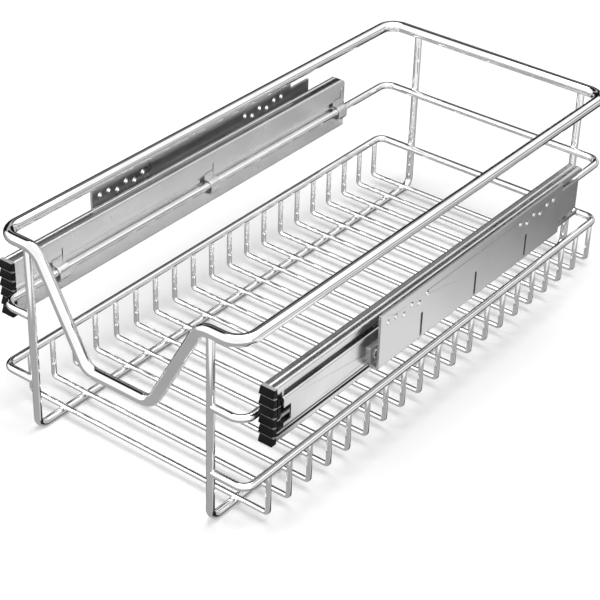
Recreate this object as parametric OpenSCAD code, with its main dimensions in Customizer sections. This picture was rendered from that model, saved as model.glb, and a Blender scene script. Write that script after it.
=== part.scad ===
// Pull-out cabinet basket: a chromed wire basket clipped between two telescopic slides,
// each slide riveted to a sheet bracket that is screwed to the side of the cabinet.
// X is across the basket, Y runs from its open front (minus) to its back, Z is up.

/* [Basket rim] */
// Diameter of the thick wire round the top
rim_wire_d = 9; // [8:0.5:10]
// Width of the rim between wire centres
rim_w = 209.4; // [202:0.1:212]
// Length of the rim between wire centres
rim_l = 456; // [448:1:480]
// Height of the rim's wire centre above the floor
rim_z = 154.6; // [140:0.1:170]
// Corner radius of the rim at the wire centre
rim_corner_r = 14; // [13:1:20]
// Level stretch of the front between a corner's bend and the place where it turns down
dip_shelf = 18.7; // [14:0.1:20]
// Width of the low front handle between its bends
dip_bottom_w = 58; // [50:1:70]
// How far the low front handle lies below the rim
dip_depth = 79.6; // [70:0.1:90]
// Bend radius of the front dip at the wire centre
dip_bend_r = 14; // [11:1:16]

/* [Basket wires] */
// Diameter of the two rings and the two long frames
ring_wire_d = 6; // [5:0.5:6.5]
// Width of the middle ring between wire centres
middle_ring_w = 214.4; // [212:0.1:220]
// Height of the middle ring
middle_ring_z = 96.4; // [95:0.1:98]
// Corner radius of the middle ring
middle_corner_r = 10; // [9:1:16]
// Width of the lower ring between wire centres
lower_ring_w = 220; // [210:1:224]
// Height of the lower ring
lower_ring_z = 42.5; // [36:0.1:50]
// Corner radius of the lower ring
lower_corner_r = 8; // [7:0.5:9]
// Distance between the two long frames
frame_spread = 160; // [156:1:162]
// Bend radius of the long frames
frame_bend_r = 8; // [6:1:14]
// How far the rear frame ends lie below the rim's wire centre
frame_top_drop = 0.4; // [0.2:0.1:0.8]
// Diameter of the cross wires
cross_wire_d = 4; // [3:0.5:4.5]
// Number of cross wires
cross_count = 20; // [20]
// First cross wire behind the rim's front wire centre
cross_first = 24; // [23:0.5:30]
// Last cross wire before the rim's back wire centre
cross_last = 6.4; // [6:0.1:12]
// Bend radius of the cross wires
cross_bend_r = 3; // [2.5:0.5:7]
// Depth to which two crossing wires melt together at a weld
weld = 0.3; // [0.2:0.05:0.5]

/* [Slides] */
// Height of the slide's middle above the floor
slide_z = 99; // [98:0.1:100]
// Gap between the middle ring and the slide
rail_play = 0.2; // [0.1:0.05:0.4]
// Thickness of one slide, from the basket side to the bracket side
slide_t = 12.5; // [12.4:0.1:13]
// Sheet thickness of the three rails
rail_sheet_t = 1.2; // [1:0.1:1.2]
// Inside bend radius of the rails
rail_bend_r = 0.4; // [0.3:0.05:0.6]
// Front of the slide behind the rim's front wire centre
slide_front = 10.6; // [8:0.1:14]
// Length of the drawer rail
drawer_rail_l = 384.4; // [370:0.1:400]
// Height of the drawer rail
drawer_rail_h = 44; // [43:0.5:48]
// Depth of the drawer rail's channel
drawer_rail_depth = 11; // [10.5:0.1:11]
// Height of the drawer rail's return lips
drawer_lip_h = 4.5; // [3.5:0.1:4.8]
// Gap between the webs of the drawer rail and the middle rail
rail_web_gap = 1.8; // [1.6:0.1:1.8]
// Depth of the middle rail's channel
middle_rail_depth = 7; // [6:0.1:7.2]
// Depth of the cabinet rail's channel
cabinet_rail_depth = 7; // [5.5:0.1:7]
// How far the middle rail ends before the drawer rail at the back
middle_rear_step = 5; // [3:0.5:8]
// How far the cabinet rail ends before the drawer rail at the back
cabinet_rear_step = 8; // [6:0.5:14]
// Travel of one rail on the next, half of the full travel
stage_travel = 190; // [170:1:190]
// Height of the notch in the front edge of the cabinet rail
rail_notch_h = 12; // [8:1:14]
// Length of the notch in the front edge of the cabinet rail
rail_notch_l = 7.5; // [4:0.5:10]
// How far the notch's middle lies below the slide's middle
rail_notch_drop = 2; // [0:0.5:3]
// Diameter of the three small holes at the back of the drawer rail
rear_hole_d = 2.8; // [2:0.1:3]
// Distance of these holes from the rail's back edge
rear_hole_inset = 2.8; // [2.4:0.1:3]
// Distance between these holes
rear_hole_pitch = 13.5; // [11:0.5:15]

/* [Balls and cages] */
// Diameter of the balls between the drawer rail and the middle rail
outer_ball_d = 3.8; // [3.6:0.1:4]
// Diameter of the balls between the middle rail and the cabinet rail
inner_ball_d = 2.6; // [2.4:0.1:2.8]
// Gap between a ball and each of its two tracks
ball_play = 0.3; // [0.3:0.05:0.4]
// Balls in one row
ball_count = 9; // [9]
// Distance of the large balls from the basket side of the slide
outer_ball_u = 6.5; // [6:0.1:7]
// Distance of the small balls from the basket side of the slide
inner_ball_u = 7.5; // [7.2:0.1:8]
// Length of both ball cages
cage_l = 170; // [150:1:172]
// Sheet thickness of the cages
cage_sheet_t = 0.6; // [0.5:0.05:0.6]
// Gap between a ball and the edge of its hole in the cage
cage_hole_play = 0.2; // [0.1:0.05:0.3]
// Gap between the outer cage and the web of the drawer rail
outer_cage_gap = 0.6; // [0.5:0.05:0.6]
// Gap between the inner cage and the web of the middle rail
inner_cage_gap = 0.35; // [0.3:0.05:0.4]
// Reach of the outer cage across the track
outer_cage_depth = 7.6; // [7.4:0.1:7.6]
// Reach of the inner cage across the track
inner_cage_depth = 5.4; // [5.2:0.1:5.6]
// Length of a raised stop along the rail
stop_l = 2; // [1.5:0.1:3]
// Width of a raised stop across the rail
stop_w = 2.4; // [2:0.1:3]
// How far a raised stop on a track reaches past the cage sheet
stop_lap = 0.3; // [0.2:0.05:0.4]
// Gap left between parts that stop each other
stop_play = 0.5; // [0.4:0.1:1]

/* [Bumpers] */
// Thickness of the ribbed front bumper
drawer_bumper_l = 5; // [4:0.5:7]
// Depth of the grooves between the ribs
bumper_groove_l = 1.6; // [1:0.1:2.5]
// Height of a groove between two ribs
bumper_groove_h = 0.8; // [0.5:0.1:1.2]
// Ribs of the front bumper
bumper_ribs = 6; // [6]
// Width of the front bumper
drawer_bumper_w = 11.6; // [11:0.1:12]
// Length of the plug behind the front bumper
bumper_plug_l = 1.4; // [1:0.1:2]
// Gap round the plugs of both bumpers
bumper_play = 0.1; // [0.05:0.05:0.3]
// Height of the middle rail's bumper blocks together
middle_bumper_h = 23.6; // [20:0.2:26]
// Depth of the middle rail's bumper across the slide
middle_bumper_w = 6.4; // [5.5:0.1:6.6]
// Length of the middle rail's bumper
middle_bumper_l = 3.5; // [3:0.1:5]
// How far this bumper stands out of the middle rail
middle_bumper_nose = 0.7; // [0.4:0.1:1.2]
// Blocks of the middle rail's bumper
middle_bumper_blocks = 3; // [3]
// Height of the gap between two of these blocks
middle_bumper_gap = 1.2; // [0.6:0.1:2]

/* [Clips] */
// Width of a clip strap along the rail
clip_w = 10; // [8:0.5:11]
// Middle of the first clip behind the drawer rail's front end
clip_first = 40.9; // [30:0.1:50]
// Middle of the last clip before the drawer rail's back end
clip_last = 10.5; // [10:0.1:16]
// Number of clips on one rail
clip_count = 3; // [3]
// Gap between the clip and the middle ring
clip_play = 0.15; // [0.1:0.05:0.3]
// How far the clip runs straight down below the ring
clip_drop = 3.8; // [2:0.1:5]
// Length of the clip's flat free end
clip_tail = 4.5; // [3:0.1:5]
// Gap cut round the clip in the rail
clip_slot = 0.5; // [0.4:0.1:0.6]
// Length of the side window in front of a clip
clip_window_l = 5.5; // [4:0.5:7]
// Height of the side window in front of a clip
clip_window_h = 6; // [4:0.5:7]
// Foot of the side window above the ring's centre
clip_window_rise = 2; // [1:0.5:3]
// Width of the relief slit above a clip
clip_slit_w = 1; // [0.8:0.1:1.4]
// Height of the relief slit above a clip
clip_slit_h = 5.5; // [4:0.5:6]

/* [Brackets] */
// Sheet thickness of the brackets
bracket_sheet_t = 2; // [1.8:0.1:2.4]
// Inside bend radius of the brackets
bracket_bend_r = 1; // [0.8:0.1:1.4]
// Depth of a bracket, from the rail to the cabinet side
bracket_depth = 9.1; // [8.8:0.1:10]
// Front end of the bracket behind the rim's front wire centre
bracket_front = 113.6; // [100:0.1:118]
// Length of the bracket without its tongue
bracket_l = 237; // [232:1:245]
// Height of the bracket's foot above the floor
bracket_foot_z = 85.3; // [85:0.1:86.5]
// Height of the bracket
bracket_h = 44.4; // [43:0.1:50]
// Height of the inner leg that is riveted to the rail
bracket_leg_h = 15; // [13:0.5:20]
// Length of the tongue at the back
tongue_l = 24.5; // [15:0.5:35]
// Height of the tongue
tongue_h = 25.3; // [18:0.1:27]
// Foot of the tongue above the foot of the bracket
tongue_rise = 13; // [10:0.5:16]
// Width of the three upright slots
slot_w = 2.5; // [2:0.1:3.5]
// Height of the three upright slots
slot_h = 19.5; // [15:0.5:22]
// Foot of the slots above the bracket's foot
slot_rise = 3.2; // [3:0.1:6]
// Distance between two slots
slot_pitch = 68.5; // [60:0.5:70]
// Diameter of the screw holes
screw_hole_d = 4; // [3:0.1:5]
// Distance between two screw holes along the bracket
screw_pitch = 9.4; // [8:0.1:10]
// First screw hole behind the bracket's front end
screw_first = 8.1; // [6:0.1:9]
// Last screw hole before the bracket's back end
screw_last = 12.9; // [6:0.1:14]
// Upper screw row below the bracket's top
screw_top = 8.4; // [7:0.1:12]
// Distance between the two screw rows
screw_row_step = 3.2; // [2:0.1:4]

/* [Rivets] */
// Diameter of the rivets
rivet_d = 3.8; // [3:0.1:4]
// Gap between a rivet and its hole
rivet_play = 0.1; // [0.05:0.05:0.2]
// Diameter of the rivet head on the bracket
rivet_head_d = 7; // [6:0.1:8]
// Height of the rivet head on the bracket
rivet_head_h = 1.2; // [0.8:0.1:1.5]
// Diameter of the upset head inside the rail
rivet_tail_d = 6; // [5:0.1:7]
// Height of the upset head inside the rail
rivet_tail_h = 0.9; // [0.6:0.1:1.2]
// First rivet behind the bracket's front end
rivet_first = 6.5; // [5:0.5:10]
// Last rivet before the bracket's back end
rivet_last = 6.7; // [5:0.1:10]
// Rivets in one bracket
rivet_count = 4; // [4]
// Height of the rivets above the bracket's foot
rivet_rise = 8.7; // [7.5:0.1:9.5]

/* [Hidden] */
$fn = 48;
overrun = 1;
wedge_share = 2;
seam_step = 0.1;
seam_lap = 0.5;
hole_rows_front = [0, 0, 1, 0, 1, 0];
hole_rows_rear = [0, 1, 0, 1, 0, 0];

rim_half_w = rim_w / 2;
frame_x = frame_spread / 2;
frame_reach = (rim_wire_d + ring_wire_d) / 2 - weld;
body_l = rim_wire_d / 2 + rim_l + frame_reach + ring_wire_d / 2;
rim_front_y = rim_wire_d / 2 - body_l / 2;
rim_back_y = rim_front_y + rim_l;
front_upright_y = rim_front_y;
back_upright_y = rim_back_y + frame_reach;
ring_back_y = back_upright_y - ring_wire_d + weld;
ring_end_x = frame_x + ring_wire_d / 2 - weld;
frame_z = ring_wire_d / 2;
front_top_z = rim_z - rim_wire_d / 2 + weld;
back_top_z = rim_z - frame_top_drop;
cross_z = ring_wire_d + cross_wire_d / 2 - weld;
cross_half_w = lower_ring_w / 2;
cross_top_z = lower_ring_z - ring_wire_d / 2 + weld;
cross_pitch = (rim_l - cross_first - cross_last) / (cross_count - 1);

dip_z = rim_z - dip_depth;
dip_out = [rim_half_w - rim_corner_r - dip_shelf, rim_z];
dip_in = [dip_bottom_w / 2, dip_z];
dip_shoulder = cut_back([rim_half_w, rim_z], dip_out, dip_in, dip_bend_r);
dip_join = (dip_out[0] + dip_shoulder + rim_half_w - rim_corner_r) / 2;

slide_x = middle_ring_w / 2 + ring_wire_d / 2 + rail_play;
drawer_front = slide_front + drawer_bumper_l;
drawer_rear = drawer_front + drawer_rail_l;
middle_bumper_front = drawer_front + bumper_plug_l + stop_play;
middle_front = middle_bumper_front + middle_bumper_nose;
middle_rear = drawer_rear - middle_rear_step;
cabinet_front = middle_bumper_front + middle_bumper_l + stop_play;
cabinet_rear = drawer_rear - cabinet_rear_step;
track_h = drawer_rail_h / 2 - rail_sheet_t;
middle_half_h = track_h - outer_ball_d - 2 * ball_play;
middle_track_h = middle_half_h - rail_sheet_t;
cabinet_half_h = middle_track_h - inner_ball_d - 2 * ball_play;
outer_ball_v = (track_h + middle_half_h) / 2;
inner_ball_v = (middle_track_h + cabinet_half_h) / 2;
middle_u = rail_sheet_t + rail_web_gap;
middle_tip_u = middle_u + middle_rail_depth;
cabinet_u = slide_t - cabinet_rail_depth;
cabinet_web_u = slide_t - rail_sheet_t;
rail_mid_r = rail_bend_r + rail_sheet_t / 2;
cage_mid_r = rail_bend_r + cage_sheet_t / 2;
cage_front = (middle_front + middle_rear - cage_l) / 2;
cage_rear = cage_front + cage_l;
front_stop = cage_front - stage_travel / 2 - stop_play - stop_l;
rear_stop = cage_rear + stage_travel / 2 + stop_play;
ball_pitch = cage_l / ball_count;
outer_cage_u = rail_sheet_t + outer_cage_gap;
inner_cage_u = middle_u + rail_sheet_t + inner_cage_gap;

clip_inner_r = ring_wire_d / 2 + clip_play;
clip_outer_r = clip_inner_r + rail_sheet_t;
wire_u = -ring_wire_d / 2 - rail_play;
wire_v = middle_ring_z - slide_z;
clip_low_v = wire_v - clip_drop;
clip_top_v = wire_v + clip_outer_r + clip_tail;
clip_cut_w = clip_w + 2 * clip_slot;
clip_pitch = (drawer_rail_l - clip_first - clip_last) / (clip_count - 1);

bracket_x = slide_x + slide_t;
bracket_out_x = bracket_x + bracket_depth;
bracket_mid_r = bracket_bend_r + bracket_sheet_t / 2;
bracket_top_z = bracket_foot_z + bracket_h;
screw_group_l = screw_pitch * (len(hole_rows_front) - 1);
screw_rear_first = bracket_l - screw_last - screw_group_l;
rivet_pitch = (bracket_l - rivet_first - rivet_last) / (rivet_count - 1);

function unit(v) = v / norm(v);
function turn(a, p, b) = atan2(cross(p - a, b - p), (p - a) * (b - p));
function cut_back(a, p, b, r) = r * tan(abs(turn(a, p, b)) / 2);
function bend_start(a, p, b, r) = p - unit(p - a) * cut_back(a, p, b, r);
function bend_end(a, p, b, r) = p + unit(b - p) * cut_back(a, p, b, r);
function left_of(v) = [-v[1], v[0]];
function bend_centre(a, p, b, r) =
    bend_start(a, p, b, r) + sign(turn(a, p, b)) * r * left_of(unit(p - a));
function run_start(pts, i, r) =
    i == 0 ? pts[0] : bend_end(pts[i - 1], pts[i], pts[i + 1], r);
function run_end(pts, i, r) =
    i == len(pts) - 2 ? pts[i + 1] : bend_start(pts[i], pts[i + 1], pts[i + 2], r);
function slanted(pts, i) = i > 0 && (pts[i] - pts[i - 1]) * (pts[i + 1] - pts[i]) != 0;
function wire_name(i) = str("cross_wire_", i < 9 ? "0" : "", i + 1);

BASKET_NODES = ["top_rim", "middle_ring", "lower_ring", "left_long_frame", "right_long_frame"];
SIDE_NODES = ["mounting_bracket", "cabinet_rail", "middle_rail", "drawer_rail", "drawer_bumper",
    "middle_bumper", "outer_ball_cage", "outer_balls", "inner_ball_cage", "inner_balls"];

// A wire bent at every inner point of a flat path, laid piece after piece from its start
module bent_wire(pts, r, d) {
    translate([pts[0][0], pts[0][1], 0])
        rotate([0, 0, atan2(pts[1][1] - pts[0][1], pts[1][0] - pts[0][0])])
            wire_from(pts, 0, r, d);
}

// Run i of that wire, its bend, and all that comes after it. A run that follows a slanted bend
// is a hair thinner and ends a little inside the bends, so that they always join cleanly.
module wire_from(pts, i, r, d) {
    run = norm(run_end(pts, i, r) - run_start(pts, i, r));
    slant = slanted(pts, i);
    ends = i < len(pts) - 2 ? 2 : 1;
    translate([slant ? -seam_lap : 0, 0, 0])
        rotate([0, 90, 0])
            cylinder(h = slant ? run + ends * seam_lap : run, d = slant ? d - seam_step : d);
    if (i < len(pts) - 2) {
        t = turn(pts[i], pts[i + 1], pts[i + 2]);
        side = sign(t) * r;
        translate([run, side, 0]) {
            rotate([0, 0, t > 0 ? -90 : 90 + t])
                rotate_extrude(angle = abs(t))
                    translate([r, 0])
                        circle(d = d);
            rotate([0, 0, t])
                translate([0, -side, 0])
                    wire_from(pts, i + 1, r, d);
        }
    }
}

// A folded sheet seen from its end, given by the path of its middle
module sheet_run(a, b, t) {
    translate(a)
        rotate(atan2(b[1] - a[1], b[0] - a[0]))
            translate([0, -t / 2])
                square([norm(b - a), t]);
}

module sheet_bend(a, p, b, r, t) {
    s = bend_start(a, p, b, r);
    e = bend_end(a, p, b, r);
    c = bend_centre(a, p, b, r);
    intersection() {
        translate(c)
            difference() {
                circle(r = r + t / 2);
                circle(r = r - t / 2);
            }
        polygon([c, c + wedge_share * (s - c), c + wedge_share * (p - c), c + wedge_share * (e - c)]);
    }
}

module folded_sheet(pts, r, t) {
    for (i = [0 : len(pts) - 2])
        sheet_run(run_start(pts, i, r), run_end(pts, i, r), t);
    for (i = [1 : len(pts) - 2])
        sheet_bend(pts[i - 1], pts[i], pts[i + 1], r, t);
}

// A flat outline in X and Z drawn out along Y from one place to another
module along_y(from, to) {
    translate([0, to, 0])
        rotate([90, 0, 0])
            linear_extrude(height = to - from)
                children();
}

// The slide's own frame: X outwards from its basket side, Y from the rim's front, Z from its middle
module in_slide() {
    translate([slide_x, rim_front_y, slide_z])
        children();
}

// The rim: a level loop of thick wire whose front dips into a low handle, made as two like halves
module top_rim() {
    color("gainsboro")
        for (side = [0, 1])
            mirror([side, 0, 0])
                rim_half();
}

module rim_half() {
    translate([0, 0, rim_z])
        bent_wire([
            [dip_join, rim_front_y],
            [rim_half_w, rim_front_y],
            [rim_half_w, rim_back_y],
            [-overrun, rim_back_y]], rim_corner_r, rim_wire_d);
    translate([0, rim_front_y, 0])
        rotate([90, 0, 0])
            bent_wire([
                [dip_join, rim_z],
                dip_out,
                dip_in,
                [-overrun, dip_z]], dip_bend_r, rim_wire_d);
}

// A ring of thinner wire, its front ends butted against the outsides of the two long frames
module wire_ring(w, z, r) {
    translate([0, 0, z])
        bent_wire([
            [ring_end_x, front_upright_y],
            [w / 2, front_upright_y],
            [w / 2, ring_back_y],
            [-w / 2, ring_back_y],
            [-w / 2, front_upright_y],
            [-ring_end_x, front_upright_y]], r, ring_wire_d);
}

module middle_ring() {
    color("gainsboro") wire_ring(middle_ring_w, middle_ring_z, middle_corner_r);
}

module lower_ring() {
    color("gainsboro") wire_ring(lower_ring_w, lower_ring_z, lower_corner_r);
}

// A long frame: up the front to the rim's underside, along the floor and up behind the rim
module long_frame(x) {
    color("gainsboro")
        translate([x, 0, 0])
            rotate([90, 0, 90])
                bent_wire([
                    [front_upright_y, front_top_z],
                    [front_upright_y, frame_z],
                    [back_upright_y, frame_z],
                    [back_upright_y, back_top_z]], frame_bend_r, ring_wire_d);
}

module left_long_frame() {
    long_frame(-frame_x);
}

module right_long_frame() {
    long_frame(frame_x);
}

// A cross wire: lies on the two long frames and turns up to the lower ring's underside
module cross_wire(i) {
    color("gainsboro")
        translate([0, rim_front_y + cross_first + i * cross_pitch, 0])
            rotate([90, 0, 0])
                bent_wire([
                    [-cross_half_w, cross_top_z],
                    [-cross_half_w, cross_z],
                    [cross_half_w, cross_z],
                    [cross_half_w, cross_top_z]], cross_bend_r, cross_wire_d);
}

// The strap of a clip seen along the rail: round the ring, back to the web, flat free end on top
module clip_outline() {
    difference() {
        union() {
            translate([wire_u, wire_v]) circle(r = clip_outer_r);
            translate([wire_u, clip_low_v]) circle(r = clip_outer_r);
            translate([wire_u - clip_outer_r, clip_low_v]) square([clip_outer_r, clip_drop]);
            translate([wire_u, clip_low_v - clip_outer_r])
                square([rail_sheet_t - wire_u, clip_drop + 2 * clip_outer_r]);
        }
        translate([wire_u, wire_v]) circle(r = clip_inner_r);
        translate([wire_u, clip_low_v]) circle(r = clip_inner_r);
        translate([wire_u - clip_inner_r, clip_low_v]) square([clip_inner_r, clip_drop]);
        translate([wire_u, clip_low_v - clip_inner_r])
            square([rail_sheet_t - wire_u + overrun, clip_drop + 2 * clip_inner_r]);
    }
    translate([0, wire_v + clip_inner_r])
        square([rail_sheet_t, rail_sheet_t + clip_tail]);
}

// The windows left in the web where a clip has been pressed out
module clip_windows() {
    cut_t = rail_sheet_t + 2 * overrun;
    translate([-overrun, -clip_cut_w / 2, clip_low_v - clip_inner_r])
        cube([cut_t, clip_cut_w, clip_top_v + clip_slot - clip_low_v + clip_inner_r]);
    translate([-overrun, -clip_cut_w / 2 - clip_window_l, wire_v + clip_window_rise])
        cube([cut_t, clip_window_l + overrun, clip_window_h]);
    translate([-overrun, clip_cut_w / 2 - clip_slit_w, clip_top_v])
        cube([cut_t, clip_slit_w, clip_slot + clip_slit_h]);
}

// The raised stops on a pair of tracks: from the track at v0 to v1, above and below
module track_stops(u, y, v0, v1) {
    for (side = [0, 1])
        mirror([0, 0, side])
            translate([u - stop_w / 2, y, v0])
                cube([stop_w, stop_l, v1 - v0]);
}

// The drawer rail: the widest channel, open outwards, with three clips that hold the basket
module drawer_rail() {
    half_h = (drawer_rail_h - rail_sheet_t) / 2;
    tip_u = drawer_rail_depth - rail_sheet_t / 2;
    web_u = rail_sheet_t / 2;
    lip_v = drawer_rail_h / 2 - drawer_lip_h;
    color("silver")
        in_slide() {
            difference() {
                along_y(drawer_front, drawer_rear)
                    folded_sheet([
                        [tip_u, lip_v],
                        [tip_u, half_h],
                        [web_u, half_h],
                        [web_u, -half_h],
                        [tip_u, -half_h],
                        [tip_u, -lip_v]], rail_mid_r, rail_sheet_t);
                for (i = [0 : clip_count - 1])
                    translate([0, drawer_front + clip_first + i * clip_pitch, 0])
                        clip_windows();
                for (i = [-1 : 1])
                    translate([-overrun, drawer_rear - rear_hole_inset, i * rear_hole_pitch])
                        rotate([0, 90, 0])
                            cylinder(h = rail_sheet_t + 2 * overrun, d = rear_hole_d);
            }
            for (i = [0 : clip_count - 1])
                translate([0, drawer_front + clip_first + i * clip_pitch, 0])
                    along_y(-clip_w / 2, clip_w / 2)
                        clip_outline();
            track_stops(outer_ball_u, rear_stop, outer_ball_v - cage_sheet_t / 2 - stop_lap,
                drawer_rail_h / 2 - rail_sheet_t / 2);
        }
}

// The middle rail: runs on large balls in the drawer rail and carries small ones inside
module middle_rail() {
    half_h = middle_half_h - rail_sheet_t / 2;
    web_u = middle_u + rail_sheet_t / 2;
    color("silver")
        in_slide() {
            along_y(middle_front, middle_rear)
                folded_sheet([
                    [middle_tip_u, half_h],
                    [web_u, half_h],
                    [web_u, -half_h],
                    [middle_tip_u, -half_h]], rail_mid_r, rail_sheet_t);
            track_stops(outer_ball_u, front_stop, half_h,
                outer_ball_v + cage_sheet_t / 2 + stop_lap);
            track_stops(inner_ball_u, rear_stop, inner_ball_v - cage_sheet_t / 2 - stop_lap,
                half_h);
        }
}

// The cabinet rail: the narrowest channel, riveted to the bracket, its web facing outwards
module cabinet_rail() {
    half_h = cabinet_half_h - rail_sheet_t / 2;
    web_u = slide_t - rail_sheet_t / 2;
    notch_foot_v = -rail_notch_drop - rail_notch_h / 2;
    color("silver")
        difference() {
            in_slide() {
                difference() {
                    along_y(cabinet_front, cabinet_rear)
                        folded_sheet([
                            [cabinet_u, half_h],
                            [web_u, half_h],
                            [web_u, -half_h],
                            [cabinet_u, -half_h]], rail_mid_r, rail_sheet_t);
                    translate([cabinet_web_u - overrun, cabinet_front - overrun, notch_foot_v])
                        cube([rail_sheet_t + 2 * overrun, rail_notch_l + overrun, rail_notch_h]);
                }
                track_stops(inner_ball_u, front_stop, half_h,
                    inner_ball_v + cage_sheet_t / 2 + stop_lap);
            }
            rivet_holes();
        }
}

// The holes for one side's rivets, through the rail's web and the bracket's leg
module rivet_holes() {
    for (i = [0 : rivet_count - 1])
        at_rivet(i)
            translate([-rail_sheet_t - overrun, 0, 0])
                rotate([0, 90, 0])
                    cylinder(h = rail_sheet_t + bracket_sheet_t + 2 * overrun, d = rivet_d + 2 * rivet_play);
}

// The place where rivet i crosses the joint between web and leg
module at_rivet(i) {
    translate([bracket_x, rim_front_y + bracket_front + rivet_first + i * rivet_pitch,
            bracket_foot_z + rivet_rise])
        children();
}

// Ribbed plastic bumper on the front end of the drawer rail
module drawer_bumper() {
    rib_h = drawer_rail_h / bumper_ribs;
    plug_h = drawer_rail_h - 2 * rail_sheet_t - 2 * bumper_play;
    plug_w = drawer_rail_depth - 2 * rail_sheet_t - 2 * bumper_play;
    color("dimgray")
        in_slide() {
            difference() {
                translate([0, slide_front, -drawer_rail_h / 2])
                    cube([drawer_bumper_w, drawer_bumper_l, drawer_rail_h]);
                for (i = [1 : bumper_ribs - 1])
                    translate([-overrun, slide_front - overrun,
                            i * rib_h - drawer_rail_h / 2 - bumper_groove_h / 2])
                        cube([drawer_bumper_w + 2 * overrun, bumper_groove_l + overrun, bumper_groove_h]);
            }
            translate([rail_sheet_t + bumper_play, drawer_front, -plug_h / 2])
                cube([plug_w, bumper_plug_l, plug_h]);
        }
}

// Plastic bumper in the front end of the middle rail: three blocks on one base
module middle_bumper() {
    block_h = (middle_bumper_h + middle_bumper_gap) / middle_bumper_blocks;
    base_h = 2 * (middle_track_h - bumper_play);
    web_u = middle_u + rail_sheet_t;
    base_l = middle_bumper_l - middle_bumper_nose;
    base_w = middle_rail_depth - rail_sheet_t;
    color("dimgray")
        in_slide() {
            for (i = [0 : middle_bumper_blocks - 1])
                translate([web_u, middle_bumper_front, i * block_h - middle_bumper_h / 2])
                    cube([middle_bumper_w, middle_bumper_l, block_h - middle_bumper_gap]);
            translate([web_u, middle_front, -base_h / 2])
                cube([base_w, base_l, base_h]);
        }
}

// A cage: a folded strip with one hole for every ball
module ball_cage(u, depth, ball_u, ball_v, ball_d) {
    web_u = u + cage_sheet_t / 2;
    color("lightgray")
        in_slide()
            difference() {
                along_y(cage_front, cage_rear)
                    folded_sheet([
                        [u + depth, ball_v],
                        [web_u, ball_v],
                        [web_u, -ball_v],
                        [u + depth, -ball_v]], cage_mid_r, cage_sheet_t);
                for (side = [-1, 1])
                    for (i = [0 : ball_count - 1])
                        translate([ball_u, cage_front + (i + 1 / 2) * ball_pitch,
                                side * ball_v - cage_sheet_t / 2 - overrun])
                            cylinder(h = cage_sheet_t + 2 * overrun, d = ball_d + 2 * cage_hole_play);
            }
}

// The balls of one cage, a row above and a row below
module balls(ball_u, ball_v, ball_d) {
    color("lightgray")
        in_slide()
            for (side = [-1, 1])
                for (i = [0 : ball_count - 1])
                    translate([ball_u, cage_front + (i + 1 / 2) * ball_pitch, side * ball_v])
                        sphere(d = ball_d);
}

module outer_ball_cage() {
    ball_cage(outer_cage_u, outer_cage_depth, outer_ball_u, outer_ball_v, outer_ball_d);
}

module inner_ball_cage() {
    ball_cage(inner_cage_u, inner_cage_depth, inner_ball_u, inner_ball_v, inner_ball_d);
}

module outer_balls() {
    balls(outer_ball_u, outer_ball_v, outer_ball_d);
}

module inner_balls() {
    balls(inner_ball_u, inner_ball_v, inner_ball_d);
}

// One group of screw holes through the plate, each in the upper or the lower row
module screw_holes(first, rows) {
    for (i = [0 : len(rows) - 1])
        translate([bracket_out_x - bracket_sheet_t - overrun,
                rim_front_y + bracket_front + first + i * screw_pitch,
                bracket_top_z - screw_top - rows[i] * screw_row_step])
            rotate([0, 90, 0])
                cylinder(h = bracket_sheet_t + 2 * overrun, d = screw_hole_d);
}

// The bracket: a tall plate for the cabinet side, folded under and up again to the rail
module mounting_bracket() {
    plate_x = bracket_out_x - bracket_sheet_t / 2;
    leg_x = bracket_x + bracket_sheet_t / 2;
    foot_z = bracket_foot_z + bracket_sheet_t / 2;
    front_y = rim_front_y + bracket_front;
    color("lightsteelblue")
        difference() {
            union() {
                along_y(front_y, front_y + bracket_l)
                    folded_sheet([
                        [plate_x, bracket_top_z],
                        [plate_x, foot_z],
                        [leg_x, foot_z],
                        [leg_x, bracket_foot_z + bracket_leg_h]], bracket_mid_r, bracket_sheet_t);
                translate([bracket_out_x - bracket_sheet_t, front_y + bracket_l,
                        bracket_foot_z + tongue_rise])
                    cube([bracket_sheet_t, tongue_l, tongue_h]);
            }
            for (i = [-1 : 1])
                translate([bracket_out_x - bracket_sheet_t - overrun,
                        front_y + bracket_l / 2 + i * slot_pitch - slot_w / 2,
                        bracket_foot_z + slot_rise])
                    cube([bracket_sheet_t + 2 * overrun, slot_w, slot_h]);
            screw_holes(screw_first, hole_rows_front);
            screw_holes(screw_rear_first, hole_rows_rear);
            rivet_holes();
        }
}

// Rivets of both sides: head on the bracket's leg, upset end inside the rail
module bracket_rivets() {
    shank_l = rail_sheet_t + bracket_sheet_t;
    color("gray")
        for (side = [0, 1])
            mirror([side, 0, 0])
                for (i = [0 : rivet_count - 1])
                    at_rivet(i)
                        rotate([0, 90, 0]) {
                            translate([0, 0, -rail_sheet_t])
                                cylinder(h = shank_l, d = rivet_d);
                            translate([0, 0, bracket_sheet_t])
                                cylinder(h = rivet_head_h, d = rivet_head_d);
                            translate([0, 0, -rail_sheet_t - rivet_tail_h])
                                cylinder(h = rivet_tail_h, d = rivet_tail_d);
                        }
}

// The same piece on the left side
module left() {
    mirror([1, 0, 0])
        children();
}

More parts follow.
